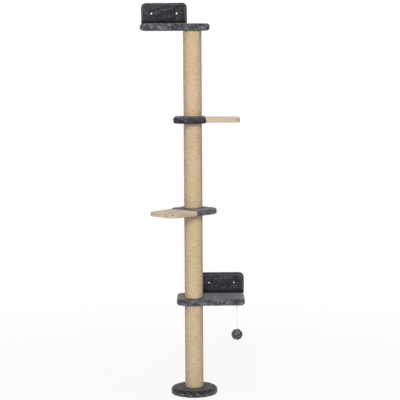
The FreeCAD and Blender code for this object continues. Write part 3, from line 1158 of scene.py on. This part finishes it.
@dataclass
class Studio:
    """The camera, the lamps, the floor and the white surroundings."""

    distance: float = 5.925
    camera_height: float = 1.546
    camera_right: float = 0.0293
    tilt: float = 6.636
    roll: float = -0.33
    lens: float = 123.5
    floor_side: float = 60.0
    surroundings: float = 0.19
    floor_glow: float = 0.88
    floor_colour: Colour = tone(236, 236, 236)
    shadow_span: Span = (0.5, 2.5)
    lamps: tuple[Lamp, ...] = (
        Lamp("key", (-0.3, -5.2, 3.0), 1.6, 212.0),
        Lamp("fill", (0.8, -5.2, 0.9), 2.0, 36.0),
        Lamp("top", (0.2, -0.4, 4.6), 1.8, 55.0),
        Lamp("left_back", (-1.7, 4.6, 2.2), 1.8, 40.0),
        Lamp("right_back", (1.7, 4.6, 2.2), 1.8, 40.0),
    )

    def build(self) -> None:
        """Makes everything that isn't the object."""
        self.camera()
        self.world()
        self.floor()
        for lamp in self.lamps:
            lamp.build()
        bpy.context.scene.view_settings.view_transform = "Standard"
        LOG.info("the studio is set")

    def camera(self) -> None:
        """Places the camera where the photograph was taken from."""
        data = bpy.data.cameras.new("camera")
        data.lens = self.lens
        camera = add_object("camera", data)
        tilt = Matrix.Rotation(QUARTER_TURN - math.radians(self.tilt), 4, "X")
        roll = Matrix.Rotation(math.radians(self.roll), 4, "Z")
        place = Matrix.Translation((self.camera_right, -self.distance, self.camera_height))
        camera.matrix_world = place @ tilt @ roll
        bpy.context.scene.camera = camera

    def world(self) -> None:
        """Makes surroundings that are white where they are seen and soft where they light."""
        world = bpy.data.worlds.new("surroundings")
        bpy.context.scene.world = world
        paint = Paint(world)
        strength = self.surroundings + (1 - self.surroundings) * paint.seen()
        white = (1.0, 1.0, 1.0)
        light = paint.node("ShaderNodeBackground", inputs={"Color": white, "Strength": strength})
        paint.put_out(light, "ShaderNodeOutputWorld")

    def floor(self) -> None:
        """Lays the pale floor, which keeps a soft shadow."""
        half = self.floor_side / 2
        corners = [(-half, -half, 0), (half, -half, 0), (half, half, 0), (-half, half, 0)]
        paint = Paint.named("pale_floor")
        matt = paint.node("ShaderNodeBsdfDiffuse", inputs={"Color": self.floor_colour})
        glow = paint.node("ShaderNodeEmission", inputs={"Color": (1.0, 1.0, 1.0)})
        away = paint.node("ShaderNodeVectorMath", {"operation": "LENGTH"}, {0: paint.place()}, "Value")
        share = self.floor_glow + (1 - self.floor_glow) * paint.ramp(away, self.shadow_span)
        glowing = {0: paint.seen() * share, 1: matt, 2: glow}
        pale = paint.put_out(paint.node("ShaderNodeMixShader", inputs=glowing))
        floor = mesh_object("floor", corners, [(0, 1, 2, 3)], pale)
        floor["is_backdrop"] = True


@dataclass
class Winding:
    """The rope wound on one post from end to end."""

    MAP = "rope"

    number: int
    rope: float = 5.0 * MM
    seat: float = 0.3 * MM
    touch: float = 0.03 * MM
    steps: int = 72
    girth: int = 9
    uneven: float = 0.22 * MM
    uneven_height: float = 0.6
    wander_pace: float = 0.09
    lift_pace: float = 0.05
    apart: float = 5.0
    lift_row: float = 9.0
    tip: float = 0.55
    tip_steps: int = 8

    def build(self, material: Material) -> Object:
        """Winds the rope as one long tube with its ends tucked in at the back.

        Args:
            material: The rope's material.

        Returns:
            The winding.
        """
        post = f"post_{self.number}"
        tube_low, tube_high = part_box(post + "_tube")
        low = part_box(post + "_sisal_low_turns")[0].z
        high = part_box(post + "_sisal_top_turns")[1].z
        line = (tube_high.x - tube_low.x) / 2 + self.seat + self.rope / 2
        turns = math.floor((high - low - self.rope) / (self.rope + self.touch))
        pitch = (high - low - self.rope) / turns
        total = turns * self.steps
        length = FULL_TURN * line / self.steps
        row = self.number * self.apart
        points, faces = [], []
        for step in range(total + 1):
            angle = FULL_TURN * step / self.steps + QUARTER_TURN
            out = around(angle, RIGHT, BACK)
            height = low + self.rope / 2 + pitch * step / self.steps
            wander = noise.noise(Vector((row, step * self.wander_pace, 0)))
            lift = noise.noise(Vector((row, self.lift_row, step * self.lift_pace)))
            centre = out * (line + wander * self.uneven)
            centre.z = height + lift * self.uneven * self.uneven_height
            from_end = min(step, total - step)
            reach = self.rope / 2 * min(1.0, self.tip + from_end / self.tip_steps)
            for side in range(self.girth):
                points.append(centre + reach * around(FULL_TURN * side / self.girth, out, UP))
        for step in range(total):
            here, after = step * self.girth, (step + 1) * self.girth
            for side in range(self.girth):
                beside = (side + 1) % self.girth
                faces.append((here + side, after + side, after + beside, here + beside))
        faces.append(tuple(range(self.girth)))
        faces.append(tuple(total * self.girth + side for side in reversed(range(self.girth))))
        piece = mesh_object(post + "_rope", points, faces, material)
        self.map_rope(piece, length)
        return carry(
            piece, Body.ROOT, Slot.SISAL,
            post + "_sisal", post + "_sisal_low_turns", post + "_sisal_top_turns",
        )

    def map_rope(self, piece: Object, length: float) -> None:
        """Gives every corner of the rope's faces its place along and round the rope.

        Args:
            piece: The rope.
            length: The length of rope between two rings of points.
        """
        layer = piece.data.uv_layers.new(name=self.MAP)
        for face in piece.data.polygons:
            sides = [piece.data.loops[n].vertex_index % self.girth for n in face.loop_indices]
            wraps = max(sides) - min(sides) > 1
            for n, side in zip(face.loop_indices, sides):
                ring = piece.data.loops[n].vertex_index // self.girth
                share = side / self.girth + (1.0 if wraps and side == 0 else 0.0)
                layer.data[n].uv = (ring * length, share)


def lies_flat(normal: Vector) -> bool:
    """Tells whether a surface faces up or down rather than sideways."""
    least_rise = 0.6
    return abs(normal.z) > least_rise


@dataclass
class PostDent:
    """The round dent that a post presses into a padded cover, where the pile swells beside it."""

    edge: float
    swell: float = 2.0 * MM
    depth: float = 0.6 * MM
    width: float = 5.0 * MM
    # How deep the painted shade by the post is.
    darkness: float = 0.45

    def beyond(self, point: Vector) -> float:
        """Returns how far a point lies beyond the edge of the post."""
        return math.hypot(point.x, point.y) - self.edge

    def height(self, point: Vector, normal: Vector) -> float:
        """Returns how far the cover stands out at a point of its flat faces."""
        pressed = bell(max(self.beyond(point), 0.0), self.width)
        return -pressed * (self.swell + self.depth) if lies_flat(normal) else 0.0

    def shade(self, point: Vector) -> float:
        """Returns the painted shade: how much darker the pile is painted close to the post."""
        return -self.darkness * bell(self.beyond(point), self.width)


@dataclass
class Shelf:
    """A wall shelf: its padded cover and the padded plate that is screwed to the wall."""

    name: str
    model: Model
    swell: float = 2.0 * MM
    corner: float = 30.0 * MM
    plate_corner: float = 20.5 * MM
    plate_foot: float = 4.5 * MM
    wall_hole: float = 3.4 * MM
    # Painted shade along the plate's rim, round its puckered holes and in the creases at its foot.
    rim: float = 3.5 * MM
    rim_shade: float = 0.45
    pucker: float = 2.0 * MM
    pucker_width: float = 7.5 * MM
    pucker_shade: float = 0.45
    crease: float = 5.0 * MM
    crease_shade: float = 0.5
    plate_crease: float = 13.0 * MM
    plate_crease_shade: float = 1.2
    padded_edge: float = 12.0 * MM
    under: float = 2.0 * MM
    staple: Pair | None = None
    staple_dent: float = 2.2 * MM
    staple_width: float = 9.0 * MM
    post_above: bool = True
    shade: float = 0.0

    def build(self) -> None:
        """Makes the shelf's cover and its plate's cover."""
        self.cover()
        self.plate()

    def cover(self) -> None:
        """Makes the cover of the shelf, pressed in where the posts stand on it."""
        low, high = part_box(self.name + "_plush")
        plate_low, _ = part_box(self.name + "_plate_plush")
        out = Vector((self.swell / 2, self.swell, self.under))
        wall = Vector((self.swell / 2, 0, self.swell))
        dent = PostDent(self.model.rope_edge(), self.swell)
        pad = Pad(
            self.name + "_cover", low - out, high + wall, (self.corner,) * 4,
            self.padded_edge, foot_edge=self.padded_edge,
        )

        def wear(point: Vector) -> float:
            """Gives the painted shade by the post and in the crease along the foot of the plate.

            Args:
                point: A point of the cover.

            Returns:
                How much lighter the pile is there, or darker where it is negative.
            """
            if point.z < high.z:
                return self.shade + dent.shade(point)
            by_post = dent.shade(point) if self.post_above else 0.0
            # Painted shade in the crease where the shelf's top meets the plate's foot.
            return self.shade + by_post - self.crease_shade * bell(point.y - plate_low.y, self.crease)

        def dents(point: Vector, normal: Vector) -> float:
            """Gives the dent of the posts, and that of the staple in the underside.

            Args:
                point: A point of the cover.
                normal: The way that the cover faces there.

            Returns:
                How far the cover stands out there.
            """
            if normal.z > 0 and not self.post_above:
                return 0.0
            if normal.z > 0 or self.staple is None:
                return dent.height(point, normal)
            right, back = self.staple
            away = math.hypot(point.x - right, point.y - back)
            return dent.height(point, normal) - self.staple_dent * bell(away, self.staple_width)

        piece = pad.build(self.model.palette.cover, dents, wear)
        carry(piece, Body.ROOT, Slot.GREY_PLUSH, self.name + "_plush")

    def plate(self) -> None:
        """Makes the cover of the wall plate, with its seam and its two holes."""
        low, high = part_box(self.name + "_plate_plush")
        flat_low = Vector((low.x, low.z, -high.y))
        flat_high = Vector((high.x, high.z, -low.y))
        radii = (self.plate_corner, self.plate_corner, self.plate_foot, self.plate_foot)
        pad = Pad(
            self.name + "_plate_cover", flat_low, flat_high, radii, edge=5.0 * MM, foot_edge=3.0 * MM,
            grid=2.2 * MM, crown=0.5 * MM, seam=7.0 * MM, seam_depth=0.9 * MM, seam_width=1.2 * MM,
            seam_highlight=0.8, lumps=0.9 * MM,
        )
        holes = self.model.hole_pair(self.name.split("_")[0] + "_wall_holes")

        def puckered(point: Vector) -> float:
            """Returns how near a point is to the holes."""
            away = (math.hypot(point.x - at.x, point.y - at.z) for at in holes)
            return sum(bell(distance, self.pucker_width) for distance in away)

        def dip(point: Vector, normal: Vector) -> float:
            """Returns the dip of the cloth at the holes."""
            return -self.pucker * puckered(point) if lies_flat(normal) else 0.0

        def wear(point: Vector) -> float:
            """Gives the painted shade round the holes, in the crease at the plate's foot and along its
            rounded rim.

            Args:
                point: A point of the cover.

            Returns:
                How much lighter the pile is there, so a negative number.
            """
            by_holes = self.pucker_shade * puckered(point)
            by_foot = self.plate_crease_shade * bell(point.y - low.z, self.plate_crease)
            # Painted shade round the holes, in the crease at the foot and along the rim.
            return -by_holes - by_foot - self.rim_shade * bell(pad.inset_at(point), self.rim)

        places = [(at.x, at.z, self.wall_hole) for at in holes]
        piece = pad.build(self.model.palette.plate, dip, wear, places)
        piece.data.transform(Matrix.Rotation(QUARTER_TURN, 4, "X"))
        carry(piece, Body.ROOT, Slot.GREY_PLUSH, self.name + "_plate_plush")


@dataclass
class Step:
    """A step: half a bare pine board, half a padded sleeve, turned about the post."""

    name: str
    body: Body
    model: Model
    turn: float
    heart: Pair
    knots: tuple[Vector, ...] = ()
    width: float = 154.0 * MM
    covered_end: float = 79.0 * MM
    near_edge: float = 77.0 * MM
    reach: float = 58.0 * MM
    plush: float = 4.5 * MM
    shade: float = 0.0
    corner: float = 35.0 * MM
    hem: float = 3.0 * MM
    hem_edge: float = 5.0 * MM
    hem_pull: float = 1.8 * MM
    hem_light: float = 0.15
    rod: float = 5.3 * MM
    padded_edge: float = 10.0 * MM
    crown: float = 0.4 * MM

    def build(self) -> None:
        """Makes the sleeve and dresses the board."""
        self.sleeve()
        self.board()

    def sleeve(self) -> None:
        """Makes the padded sleeve, with the hem of its open end and the hole for the rod."""
        low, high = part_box(self.name + "_plush")
        start = Vector((-self.covered_end - self.plush, -self.near_edge - self.plush, low.z))
        end = Vector((self.reach, self.width - self.near_edge + self.plush, high.z))
        radii = (self.hem, self.corner, self.corner, self.hem)
        dent = PostDent(self.model.rope_edge(), swell=0.0)

        def wear(point: Vector) -> float:
            """Returns the painted shade by the post and the light hem at the sleeve's open end."""
            hem = bell(self.reach - point.x, self.hem_edge)
            return self.shade + dent.shade(point) + self.hem_light * hem

        def dents(point: Vector, normal: Vector) -> float:
            """Returns the dent of the post and the pull of the turned-in hem beside it."""
            hem = bell(self.reach - point.x, self.hem_edge) * (1 - abs(normal.x))
            return dent.height(point, normal) - self.hem_pull * hem

        pad = Pad(self.name + "_sleeve", start, end, radii, self.padded_edge, crown=self.crown)
        piece = pad.build(self.model.palette.cover, dents, wear, [(0.0, 0.0, self.rod)])
        piece.data.transform(Matrix.Rotation(math.radians(self.turn), 4, "Z"))
        carry(piece, self.body, Slot.GREY_PLUSH, self.name + "_plush")

    def board(self) -> None:
        """Dresses the board in pine, whose rings and knots follow the board's place and turn."""
        level = middle_of(self.name + "_plush").z
        wood = self.model.palette.pine(self.name + "_pine", self.turn, level, self.heart, self.knots)
        self.model.dress(self.name + "_board", wood)


@dataclass
class Base:
    """The round base's cover."""

    model: Model
    swell: float = 1.8 * MM
    edge: float = 16.0 * MM
    foot_edge: float = 5.0 * MM
    shade: float = -0.34
    # Painted light: how much lighter the cover is painted down its side.
    side_shade: float = 0.5

    def build(self) -> None:
        """Makes the cover of the base, pressed in under the post."""
        low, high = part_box("base_plush")
        radius = (high.x - low.x) / 2 + self.swell / 2
        middle = (low + high) / 2
        start = Vector((middle.x - radius, middle.y - radius, low.z))
        end = Vector((middle.x + radius, middle.y + radius, high.z + self.swell))
        dent = PostDent(self.model.rope_edge(), self.swell)
        pad = Pad(
            "base_cover", start, end, (radius,) * 4, self.edge, foot_edge=self.foot_edge,
            brushed=1.0, patch_size=1.6, corner_steps=64,
        )

        def wear(point: Vector) -> float:
            """Returns the painted shade of the cover, deepest by the post, and the painted light down its
            side.
            """
            fall = (high.z - point.z) / (high.z - middle.z)
            return self.shade + self.side_shade * min(max(fall, 0.0), 1.0) + dent.shade(point)

        piece = pad.build(self.model.palette.base, dent.height, wear)
        carry(piece, Body.ROOT, Slot.GREY_PLUSH, "base_plush")


@dataclass
class Tubes:
    """Round tubes along lines, gathered into one mesh."""

    sides: int = 8
    twists: int = 5
    ring_steps: int = 60
    points: list[Vector] = field(default_factory=list)
    faces: list[tuple[int, ...]] = field(default_factory=list)

    def add(self, line: Sequence[Vector], radius: float, level: Vector, closed: bool) -> None:
        """Adds one tube.

        Args:
            line: The points of its middle.
            radius: Its radius.
            level: A direction that the line never follows.
            closed: Whether the line's end joins its start.
        """
        first, count = len(self.points), len(line)
        for number, middle in enumerate(line):
            before = line[number - 1] if closed or number else middle
            after = line[(number + 1) % count] if closed or number < count - 1 else middle
            ahead = (after - before).normalized()
            out = ahead.cross(level).normalized()
            up = out.cross(ahead)
            for side in range(self.sides):
                angle = FULL_TURN * side / self.sides
                self.points.append(middle + radius * around(angle, out, up))
        for number in range(count if closed else count - 1):
            here, there = number * self.sides, (number + 1) % count * self.sides
            for side in range(self.sides):
                beside = (side + 1) % self.sides
                corners = (here + beside, there + beside, there + side, here + side)
                self.faces.append(tuple(first + corner for corner in corners))
        if not closed:
            end = first + (count - 1) * self.sides
            self.faces.append(tuple(range(first, first + self.sides)))
            self.faces.append(tuple(reversed(range(end, end + self.sides))))

    def twist_ring(self, hub: Vector, across: Vector, reach: float, cord: float) -> None:
        """Adds an upright ring of cord, laid of two strands.

        Args:
            hub: The ring's middle.
            across: The level direction in the ring's plane.
            reach: The ring's radius, to the cord's middle.
            cord: The cord's thickness.
        """
        level = across.cross(UP)
        strand = cord / 4
        for start in (0.0, math.pi):
            line = []
            for step in range(self.ring_steps):
                angle = FULL_TURN * step / self.ring_steps
                out = around(angle, across, UP)
                aside = around(start + self.twists * angle, out, level)
                line.append(hub + reach * out + strand * aside)
            self.add(line, strand, level, closed=True)

    def build(self, name: str, material: Material) -> Object:
        """Returns the tubes as one object."""
        return mesh_object(name, self.points, self.faces, material)


@dataclass
class HangingBall:
    """The string with its knots, and the plush ball on its end."""

    palette: Palette
    string: float = 2.4 * MM
    straight: float = 6.0
    smoothness: int = 5
    points_between: int = 24
    subdivisions: int = 6
    seam_tilt: float = 38.0
    seam_lean: float = 0.35
    seam_width: float = 1.5 * MM
    seam_depth: float = 1.1 * MM
    seam_shade: float = 0.55
    dimple_width: float = 4.5 * MM
    dimple_depth: float = 2.2 * MM
    patch_share: float = 1.6
    tufts_per_metre: float = 480.0
    tuft_height: float = 0.75 * MM
    lump_height: float = 1.1 * MM
    eye_cord: float = 1.9 * MM
    wraps: float = 2.5
    wrap_steps: int = 40
    wrap_radius: float = 1.5 * MM

    def build(self) -> None:
        """Makes the ball, the knot, the loop and the string."""
        ball = self.ball()
        knot = self.knot()
        self.loop()
        self.cord(knot, ball)

    def cord(self, knot: Object, ball: Object) -> None:
        """Args:
            knot: The knot at its upper end; it is not used.
            ball: The ball at its lower end; it is not used.
        """
        low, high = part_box("toy_string")
        x, y = (low.x + high.x) / 2, (low.y + high.y) / 2
        clear = self.straight * self.string
        heights = (high.z, high.z - clear, low.z + clear, low.z)
        curve = bpy.data.curves.new("toy_cord", "CURVE")
        curve.dimensions = "3D"
        curve.bevel_depth, curve.bevel_resolution = self.string / 2, self.smoothness
        curve.use_fill_caps = True
        line = curve.splines.new("NURBS")
        line.points.add(len(heights) - 1)
        for point, height in zip(line.points, heights):
            point.co = (x, y, height, 1.0)
        line.order_u = 3
        line.use_endpoint_u = True
        line.resolution_u = self.points_between
        curve.materials.append(self.palette.string)
        cord = add_object("toy_cord", curve)
        carry(cord, Body.TOY, Slot.WHITE_STRING, "toy_string")

    def ball(self) -> Object:
        """Makes the ball: two halves of plush, sewn on a slanting seam and dimpled at the string.

        Returns:
            The ball.
        """
        low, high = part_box("toy_ball_cover")
        middle, radius = (low + high) / 2, (high.z - low.z) / 2
        shape = bmesh.new()
        bmesh.ops.create_icosphere(shape, subdivisions=self.subdivisions, radius=radius)
        mesh = bpy.data.meshes.new("toy_ball")
        shape.to_mesh(mesh)
        shape.free()
        mesh.shade_smooth()
        mesh.materials.append(self.palette.ball)
        piece = add_object("toy_ball", mesh)
        tilt = math.radians(self.seam_tilt)
        across = Vector((math.sin(tilt), self.seam_lean, math.cos(tilt))).normalized()
        top = radius * UP
        lies, painted_seam_shade, heights = [], [], []
        for vertex in mesh.vertices:
            point = vertex.co
            seam = bell(point.dot(across), self.seam_width)
            dimple = bell((point - top).length, self.dimple_width)
            lie = patches(point * self.patch_share, middle)
            lies.append(lie)
            # Painted shade darkens the sunken seam.
            painted_seam_shade.append(-self.seam_shade * seam)
            tuft = noise.noise(point * self.tufts_per_metre) * self.tuft_height
            sunk = seam * self.seam_depth + dimple * self.dimple_depth
            heights.append(tuft + (lie - 0.5) * self.lump_height - sunk)
        store(piece, Pad.CRUSH, lies)
        store(piece, Pad.PAINTED_SHADING, painted_seam_shade)
        push_out(piece, heights)
        mesh.transform(Matrix.Translation(middle))
        carry(piece, Body.TOY, Slot.BALL_PLUSH, "toy_ball_cover")
        return piece

    def knot(self) -> Object:
        """Makes the string's upper knot: its eye and the tight turns that close it.

        Returns:
            The knot.
        """
        low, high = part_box("toy_top_knot")
        middle = (low + high) / 2
        reach = (high.y - low.y - self.eye_cord) / 2
        hub = Vector((middle.x, middle.y, high.z - self.eye_cord / 2 - reach))
        tubes = Tubes()
        tubes.twist_ring(hub, BACK, reach, self.eye_cord)
        top, bottom = hub.z - reach, low.z + self.eye_cord / 2
        wound = []
        for step in range(self.wrap_steps + 1):
            share = step / self.wrap_steps
            angle = FULL_TURN * self.wraps * share
            out = self.wrap_radius * around(angle, RIGHT, BACK)
            wound.append(Vector((middle.x, middle.y, top + (bottom - top) * share)) + out)
        tubes.add(wound, self.eye_cord / 2, UP, closed=False)
        piece = tubes.build("toy_knot", self.palette.string)
        return carry(piece, Body.TOY, Slot.WHITE_STRING, "toy_top_knot")

    def loop(self) -> Object:
        """Makes the small loop of cord that hangs in the staple.

        Returns:
            The loop.
        """
        low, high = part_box("toy_loop")
        cord = high.y - low.y
        reach = (high.x - low.x - cord) / 2
        tubes = Tubes()
        tubes.twist_ring(middle_of("toy_loop"), RIGHT, reach, cord)
        piece = tubes.build("toy_hanger", self.palette.string)
        return carry(piece, Body.TOY_LOOP, Slot.WHITE_STRING, "toy_loop")


def main() -> None:
    """Builds the studio and every sub-assembly, in order."""
    logging.basicConfig(level=logging.INFO, format="%(name)s: %(message)s")
    noise.seed_set(NOISE_SEED)
    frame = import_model()
    Studio().build()
    palette = Palette()
    model = Model(frame["nodes"], frame["record"], palette)
    model.dress_all()
    HangingBall(palette).build()
    for number in POSTS:
        Winding(number).build(palette.sisal)
    Base(model).build()
    hanger = middle_of("toy_loop")
    Shelf("low_shelf", model, under=0.5 * MM, staple=(hanger.x, hanger.y), shade=0.1).build()
    Shelf("top_shelf", model, post_above=False).build()
    Step("upper_step", Body.UPPER_STEP, model, turn=0.0, heart=(0.03, -0.07), shade=-0.28).build()
    knot = Vector((0.1976, 0.064, 0.005))
    Step(
        "lower_step", Body.LOWER_STEP, model, turn=227.0, heart=(0.01, -0.06), knots=(knot,), shade=0.2
    ).build()


if __name__ == "__main__":
    main()
